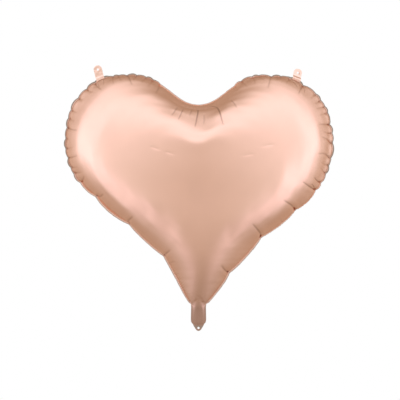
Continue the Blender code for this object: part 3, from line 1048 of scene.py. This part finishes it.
# ---------------------------------------------------------------- materials
class Nodes:
    """Short calls for a node tree. A value may be a socket to link, a number or a colour."""

    def __init__(self, tree):
        self.tree = tree

    def fill(self, node, inputs):
        for key, value in inputs.items():
            socket = node.inputs[key]
            if isinstance(value, bpy.types.NodeSocket):
                self.tree.links.new(value, socket)
            else:
                socket.default_value = (*value, 1.0) if isinstance(value, tuple) else value

    def add(self, kind, inputs=None, **settings):
        node = self.tree.nodes.new(kind)
        for name, value in settings.items():
            setattr(node, name, value)
        self.fill(node, inputs or {})
        return node

    def coords(self, kind="Object"):
        return self.add("ShaderNodeTexCoord").outputs[kind]

    def attribute(self, name):
        return self.add("ShaderNodeAttribute", attribute_name=name).outputs["Fac"]

    def math(self, operation, *values):
        inputs = dict(enumerate(values))
        return self.add("ShaderNodeMath", inputs, operation=operation).outputs[0]

    def mix(self, factor, a, b):
        inputs = {0: factor, 6: a, 7: b}
        return self.add("ShaderNodeMix", inputs, data_type="RGBA").outputs[2]

    def noise(self, coords, scale, detail=2.0, rough=0.5):
        inputs = {"Scale": scale, "Detail": detail, "Roughness": rough, "Vector": coords}
        return self.add("ShaderNodeTexNoise", inputs).outputs["Fac"]

    def remap(self, value, source, target):
        """Maps the range source onto the range target."""
        inputs = dict(enumerate((value, *source, *target)))
        return self.add("ShaderNodeMapRange", inputs).outputs[0]

    def bump(self, height, strength, distance):
        inputs = {"Strength": strength, "Distance": distance, "Height": height}
        return self.add("ShaderNodeBump", inputs).outputs[0]

    def ramp(self, factor, stops):
        node = self.add("ShaderNodeValToRGB", {0: factor})
        elements = node.color_ramp.elements
        while len(elements) > 1:
            elements.remove(elements[-1])
        for k, (position, colour) in enumerate(stops):
            element = elements[0] if k == 0 else elements.new(position)
            element.position = position
            element.color = (*colour, 1)
        node.color_ramp.interpolation = "B_SPLINE"
        return node.outputs[0]


def new_material(name):
    """A material, its nodes and its principled shader."""
    material = bpy.data.materials.new(name)
    material.use_nodes = True
    return material, Nodes(material.node_tree), material.node_tree.nodes["Principled BSDF"]


def dimmed(tone, factor):
    return tuple(c * factor for c in tone)


ROSE = (0.90, 0.575, 0.455)
# the colour of the painted shade in the creases, down the neck and over the heart's lower end
ROSE_PAINTED_SHADE = (0.82, 0.50, 0.38)
ROSE_WELD = (0.93, 0.68, 0.57)
ROSE_TAB = (0.96, 0.665, 0.55)
# the colour of the painted shade on the rim
RIM_SHADE = (0.30, 0.255, 0.205)
PLEAT_PITCH = 5.6


def foil_material(name, rough, tone=ROSE):
    """Satin metallised film: faint mottling, orange peel, a pressed weld and fine pleats."""
    material, nodes, shader = new_material(name)
    coords = nodes.coords()
    weld = nodes.attribute("foil_weld")
    crease = nodes.attribute("foil_crease")
    throat = nodes.attribute("foil_throat")

    # colour: mottled and paler in the weld; painted shade darkens the neck, the heart's lower end,
    # the creases, the seam and the rim
    mottle = nodes.noise(coords, scale=14.0, detail=3.0, rough=0.55)
    colour = nodes.mix(nodes.remap(mottle, (0.3, 0.7), (0.0, 1.0)), tone, dimmed(tone, 0.965))
    colour = nodes.mix(nodes.math("MULTIPLY", weld, 0.6), colour, ROSE_WELD)
    colour = nodes.mix(throat, colour, dimmed(ROSE_PAINTED_SHADE, 0.52))
    colour = nodes.mix(nodes.math("MULTIPLY", crease, 0.8), colour, dimmed(ROSE_PAINTED_SHADE, 0.36))
    # painted shade on the rim: its outer edge, the lobes' rim and the rim down the neck
    painted_rim_shade = nodes.math("MULTIPLY", nodes.math("MULTIPLY", crease, weld), 0.9)
    colour = nodes.mix(painted_rim_shade, colour, RIM_SHADE)

    uneven = nodes.noise(coords, scale=60.0, detail=4.0, rough=0.6)
    roughness = nodes.remap(uneven, (0.3, 0.7), (rough - 0.02, rough + 0.03))
    roughness = nodes.math("ADD", roughness, nodes.math("MULTIPLY", weld, 0.06))

    # relief, in millimetres: orange peel, then the weld's pressed lines
    height = nodes.math("MULTIPLY", nodes.noise(coords, scale=120.0), 0.035)
    wave = nodes.add("ShaderNodeTexWave", {"Scale": 420.0, "Distortion": 0.5, "Vector": coords})
    pressed = nodes.math("MULTIPLY", wave.outputs["Fac"], weld)
    height = nodes.math("ADD", height, nodes.math("MULTIPLY", pressed, 0.05))
    # fine pleats that run in from the weld along the lower sides, in patches
    along = nodes.attribute("foil_along")
    hatch = nodes.attribute("foil_hatch")
    wander = nodes.math("MULTIPLY", nodes.noise(coords, scale=28.0), 22.0)
    phase = nodes.math("MULTIPLY", along, 2 * math.pi / PLEAT_PITCH)
    pleat = nodes.math("SINE", nodes.math("ADD", phase, wander))
    patch = nodes.remap(nodes.noise(coords, scale=17.0, detail=1.0), (0.42, 0.62), (0.0, 1.0))
    pleat = nodes.math("MULTIPLY", pleat, nodes.math("MULTIPLY", hatch, patch))
    height = nodes.math("ADD", height, nodes.math("MULTIPLY", pleat, 0.34))

    less_metal = nodes.math("MULTIPLY", weld, 0.35)
    nodes.fill(shader, {
        "Base Color": colour,
        "Specular Tint": (1.0, 0.80, 0.68),
        "Metallic": nodes.math("SUBTRACT", 1.0, less_metal),
        "Roughness": roughness,
        "Normal": nodes.bump(height, strength=1.0, distance=0.001),
    })
    material.diffuse_color = (*tone, 1)
    return material


def valve_material(name, tone, alpha, rough):
    """Thin polyethylene: a milky, slightly wavy film that light passes through."""
    material, nodes, shader = new_material(name)
    coords = nodes.coords()
    cloud = nodes.noise(coords, scale=90.0, detail=3.0)
    ripple = nodes.noise(coords, scale=240.0)
    nodes.fill(shader, {
        "Base Color": nodes.mix(cloud, tone, tuple(min(1, c * 1.08) for c in tone)),
        "Roughness": nodes.remap(cloud, (0.3, 0.7), (rough - 0.06, rough + 0.08)),
        "Alpha": alpha,
        "Specular IOR Level": 0.5,
        "Transmission Weight": 0.25,
        "Normal": nodes.bump(ripple, strength=0.5, distance=0.0003),
    })
    return material


foil_front = foil_material("satin_foil_front", rough=0.23)
foil_back = foil_material("satin_foil_back", rough=0.23)
foil_tab = foil_material("satin_foil_tab", rough=0.33, tone=ROSE_TAB)
foil_weld = foil_material("fused_rim", rough=0.42, tone=ROSE_WELD)
valve_film = valve_material("valve_polyethylene", tone=(0.86, 0.87, 0.88), alpha=0.55, rough=0.4)

# ---------------------------------------------------------------- the two panels
front_verts, front_tris, marks, welded = shape_panel(
    front_grid, front_creases, -1, [TIE_HOLE]
)
front = solid(
    "foil_front_film", front_verts + [0, -FILM_OFFSET, 0], front_tris, FOIL_THICK, marks, foil_front
)
back_verts, back_tris, marks, _ = shape_panel(
    back_grid, back_creases, 1, [TIE_HOLE, INLET_HOLE]
)
back = solid(
    "foil_back_film", back_verts + [0, FILM_OFFSET, 0], back_tris, FOIL_THICK, marks, foil_back
)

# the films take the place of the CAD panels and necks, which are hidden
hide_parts("front_panel", "neck_front")
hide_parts("back_panel", "neck_back")
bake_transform(front)
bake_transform(back)

# ---------------------------------------------------------------- the fused layer between the films
# rim, neck sides and tip, taken from the front film's welded part
used, fused_tris = compacted(front_tris[welded[front_tris].all(1)])
fused_verts = front_verts[used]
fused_verts = fused_verts + mesh_normals(fused_verts, fused_tris) * 0.05
fused_marks = {"weld": np.ones(len(used)), "crease": np.zeros(len(used))}
fused = solid("fused_layer", fused_verts, fused_tris, 0.10, fused_marks, foil_weld)
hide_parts("rim_seal", "neck_seal")
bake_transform(fused)

# ---------------------------------------------------------------- hanging tabs
TAB_W, TAB_L, TAB_HOLE = 19.0, 30.0, 2.5
TAB_HALF = TAB_W / 2
TAB_MID = TAB_L - TAB_HALF  # height of the round end's centre, where the hole is
TAB_ROOT = -5.4  # the tab starts this far below its hinge
TAB_STEP = 1.0
TAB_THICK = 0.3
TAB_LEAN = math.radians(14.0)  # sideways, away from the middle
RIGHT_TAB_BACK = math.radians(48.0)
CRUMPLES = 22


def tab_sheet():
    """Points across and up the tab, its triangles, and each point's distance from a cut edge."""
    outline = [(-TAB_HALF, TAB_ROOT), (TAB_HALF, TAB_ROOT), (TAB_HALF, TAB_MID)]
    outline += [
        (TAB_HALF * math.cos(a), TAB_MID + TAB_HALF * math.sin(a))
        for a in np.linspace(0, math.pi, 31)[1:-1]
    ]
    outline.append((-TAB_HALF, TAB_MID))
    outline = resampled_by(np.vstack([outline, outline[:1]]), TAB_STEP)[:-1]
    angles = circle_angles()
    hole = np.c_[TAB_HOLE * np.cos(angles), TAB_MID + TAB_HOLE * np.sin(angles)]

    def from_mid(points):
        return np.hypot(points[:, 0], points[:, 1] - TAB_MID)

    fill = hexes(TAB_STEP, (-TAB_HALF, TAB_ROOT), (TAB_HALF, TAB_L))
    fill = fill[(np.abs(fill[:, 0]) < TAB_HALF) & (fill[:, 1] > TAB_ROOT)]
    fill = fill[(fill[:, 1] < TAB_MID) | (from_mid(fill) < TAB_HALF)]
    fill = fill[nearest_on(fill, outline)[0] > 0.5 * TAB_STEP]
    fill = fill[from_mid(fill) > TAB_HOLE + 0.6]
    cut = Cut()
    cut.line(outline, closed=True)
    cut.line(hole, closed=True)
    cut.loose(fill)
    points, tris, _ = triangulate(np.vstack(cut.parts), cut.edges, len(outline))
    used, tris = compacted(tris[from_mid(points[tris].mean(1)) > TAB_HOLE * 0.97])
    points = points[used]
    return points, tris, np.minimum(nearest_on(points, outline)[0], from_mid(points) - TAB_HOLE)


def crumpled(points, seed):
    """Crumples of the film: short bent ridges, closest together near the hinge."""
    random = np.random.default_rng(seed)
    height = np.zeros(len(points))
    for _ in range(CRUMPLES):
        angle = random.uniform(0, math.pi)
        way = np.array([math.cos(angle), math.sin(angle)])
        across_place = random.uniform(-TAB_HALF, TAB_HALF)
        middle = np.array([across_place, random.uniform(0, 1) ** 1.4 * TAB_L])
        off = (points - middle) @ way
        along = (points - middle) @ [-way[1], way[0]]
        size = random.uniform(-0.75, 0.75)
        ridge = np.exp(-np.abs(off + 0.02 * along**2) / random.uniform(0.8, 2.0))
        height += size * ridge * np.exp(-((along / random.uniform(4, 9)) ** 2))
    return np.clip(height, -1.3, 1.3) * ease(points[:, 1], -1, 4)


def make_tab(side, mirror, seed):
    name = f"hang_tab_{side}"
    joint = joints[f"{name}_fold"]
    hinge = joint_place(f"{name}_fold")
    out = np.array([abs(joint["axis"][2]) * mirror, 0, abs(joint["axis"][0])])
    up = np.array([math.sin(TAB_LEAN) * mirror, 0, math.cos(TAB_LEAN)])
    across = np.array([up[2], 0, -up[0]])
    points, tris, edge_distance = tab_sheet()
    height = crumpled(points, seed)
    # the root runs along the rim, so the tab starts on the hinge's line whatever its lean
    shift = points[:, 0] * -float(across @ out) / float(up @ out)
    shift = shift * (1 - ease(points[:, 1], -2, 9))
    verts = across * points[:, :1] + up * (points[:, 1] + shift)[:, None]
    rise = verts @ out
    turned = np.zeros(len(points))
    if side == "right":
        # beyond the hinge the right tab leans back, and its round end curls up again
        way = np.linspace(0, 60, 601)
        slope = RIGHT_TAB_BACK * ease(way, -2.5, 2.5)
        slope = slope + 0.42 * ease(way, 1, 5) * (1 - ease(way, 8, 14)) - 0.62 * ease(way, 8, 16)
        up_run = np.r_[0, np.cumsum(np.cos(slope) * 0.1)[:-1]]
        back_run = np.r_[0, np.cumsum(np.sin(slope) * 0.1)[:-1]]
        over = np.maximum(rise, 0)
        verts = verts + out * (np.interp(over, way, up_run) - over)[:, None]
        verts[:, 1] += np.interp(over, way, back_run)
        turned = np.interp(over, way, slope)
    verts += hinge
    normals = -out * np.sin(turned)[:, None] + np.array([0, 1, 0]) * np.cos(turned)[:, None]
    verts += normals * (height * np.where(points[:, 1] < 0, 0.0, 1.0))[:, None]
    # below and just above the hinge the tab lies in front of the rim
    forward = -0.75 * (1 - ease(rise, 2.4, 5.5)) * ease(points[:, 1], TAB_ROOT, -3.0)
    verts[:, 1] += forward - 0.45
    marks = {
        "weld": 1 - ease(edge_distance, 1.1, 1.5),
        # painted shade on the tallest crumples
        "crease": np.clip(np.abs(height) - 0.5, 0, 0.4),
    }
    tab = solid(f"{name}_film", verts, tris, TAB_THICK, marks, foil_tab)
    tab.visible_glossy = False
    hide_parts(f"{name}_front", f"{name}_seal", f"{name}_back")
    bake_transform(tab)


make_tab("left", mirror=-1, seed=21)
make_tab("right", mirror=1, seed=22)

# ---------------------------------------------------------------- the valve keeps its CAD shape
for part in ("sleeve_front", "sleeve_back", "tongue_front", "tongue_back"):
    slots = frame["nodes"][f"valve_{part}"].data.materials
    slots.clear()
    slots.append(valve_film)

# ---------------------------------------------------------------- floor, in metres from here on
FLOOR_Z = -0.34
FLOOR_RADIUS = 1.4


def floor_material():
    """Pale and matt. Towards its edge it turns as bright as the backdrop, so no line shows."""
    material, nodes, shader = new_material("pale_floor")
    coords = nodes.coords()
    cloud = nodes.noise(coords, scale=3.0)
    tone = nodes.mix(cloud, (0.86, 0.855, 0.85), (0.90, 0.895, 0.89))
    nodes.fill(shader, {"Base Color": tone, "Roughness": 0.75})
    bright = nodes.add("ShaderNodeEmission", {"Color": (1, 1, 1)})
    radius = nodes.add("ShaderNodeVectorMath", {0: coords}, operation="LENGTH").outputs["Value"]
    share = nodes.remap(radius, (0.35, 1.30), (0.0, 1.0))
    inputs = {0: share, 1: shader.outputs[0], 2: bright.outputs[0]}
    blend = nodes.add("ShaderNodeMixShader", inputs)
    nodes.fill(material.node_tree.nodes["Material Output"], {"Surface": blend.outputs[0]})
    return material


floor_mesh = bpy.data.meshes.new("floor")
bm = bmesh.new()
bmesh.ops.create_circle(bm, cap_ends=True, cap_tris=True, segments=96, radius=FLOOR_RADIUS)
bm.to_mesh(floor_mesh)
bm.free()
floor = bpy.data.objects.new("floor", floor_mesh)
floor.location = (0, 0, FLOOR_Z)
bpy.context.scene.collection.objects.link(floor)
floor_mesh.materials.append(floor_material())
floor.visible_glossy = False

# ---------------------------------------------------------------- the room's light
GAIN = 1.7  # a colour ramp stops at 1, so its colours are held this many times dimmer
# brightness of the room: degrees away from the camera's side, level
ABOVE = [
    (0, 0.775), (8, 0.86), (16, 1.02), (27, 1.25), (46, 1.42), (60, 1.39),
    (76, 1.27), (90, 1.05), (108, 0.70), (128, 0.50), (152, 0.40), (180, 0.60),
]
BESIDE = [
    (0, 0.775), (26, 0.85), (42, 0.97), (54, 1.13), (66, 1.58), (80, 1.66),
    (94, 1.20), (108, 0.88), (128, 0.67), (152, 0.58), (180, 0.60),
]
BELOW = [(0, 0.775), (26, 0.725), (54, 0.61), (85, 0.47), (128, 0.42), (152, 0.44), (180, 0.60)]


def warmed(level):
    """A dim part of the room is a little warmer than a bright one."""
    under, over = max(0.0, 1 - level), max(0.0, level - 1)
    return (
        level * (1 + 0.22 * under),
        level * (1 - 0.06 * under) * (1 - 0.05 * over),
        level * (1 - 0.36 * under) * (1 + 0.16 * over),
    )


def build_world():
    """The camera sees plain white; everything else sees the room."""
    world = bpy.data.worlds.new("studio")
    bpy.context.scene.world = world
    world.use_nodes = True
    nodes = Nodes(world.node_tree)
    way = nodes.add("ShaderNodeSeparateXYZ", {0: nodes.coords("Generated")})
    y, z = way.outputs["Y"], way.outputs["Z"]
    turn = nodes.math("ARCCOSINE", nodes.math("MULTIPLY", y, -0.9999))
    turn = nodes.math("DIVIDE", turn, math.pi)

    def sweep(levels):
        stops = [
            (degrees / 180, tuple(c / GAIN for c in warmed(level)))
            for degrees, level in levels
        ]
        return nodes.ramp(turn, stops)

    above, beside, below = sweep(ABOVE), sweep(BESIDE), sweep(BELOW)
    # sine of the climb round the y axis, which blends the three sweeps
    across = nodes.math("SUBTRACT", 1.0, nodes.math("MULTIPLY", y, y))
    across = nodes.math("SQRT", nodes.math("MAXIMUM", across, 1e-4))
    rise = nodes.math("DIVIDE", z, across)
    upward = nodes.math("POWER", nodes.math("MAXIMUM", rise, 0.0), 1.3)
    fall = nodes.math("MULTIPLY", rise, -1.0)
    downward = nodes.math("POWER", nodes.math("MAXIMUM", fall, 0.0), 1.65)
    room = nodes.mix(downward, nodes.mix(upward, beside, above), below)
    seen = nodes.add("ShaderNodeLightPath").outputs["Is Camera Ray"]
    colour = nodes.mix(seen, room, (1 / GAIN, 1 / GAIN, 1 / GAIN))
    nodes.fill(world.node_tree.nodes["Background"], {0: colour, 1: GAIN})


build_world()
scene = bpy.context.scene
scene.view_settings.view_transform = "Standard"
scene.view_settings.look = "None"

SOFTBOX_PLACE = Vector((0, 0.0, 2.6))
SOFTBOX_AIM = Vector((0, 0, 0.3))
light = bpy.data.lights.new("overhead_softbox", "AREA")
light.shape = "RECTANGLE"
light.size = 2.4
light.size_y = 1.6
light.energy = 12
light.color = (1, 1, 1)
softbox = bpy.data.objects.new("overhead_softbox", light)
softbox.location = SOFTBOX_PLACE
softbox.rotation_mode = "QUATERNION"
softbox.rotation_quaternion = (SOFTBOX_AIM - SOFTBOX_PLACE).to_track_quat("-Z", "Y")
scene.collection.objects.link(softbox)
softbox.visible_glossy = False

# ---------------------------------------------------------------- camera
CAMERA_DISTANCE = 3.6
VIEW_WIDTH = 0.904  # seen across at the plane y = 0
SENSOR = 36.0
camera = bpy.data.cameras.new("camera")
camera_ob = bpy.data.objects.new("camera", camera)
scene.collection.objects.link(camera_ob)
camera.sensor_width = SENSOR
camera.lens = SENSOR * CAMERA_DISTANCE / VIEW_WIDTH
camera_ob.location = (0.0034, -CAMERA_DISTANCE, 0.2963)
camera_ob.rotation_euler = (math.pi / 2, 0, 0)
scene.camera = camera_ob
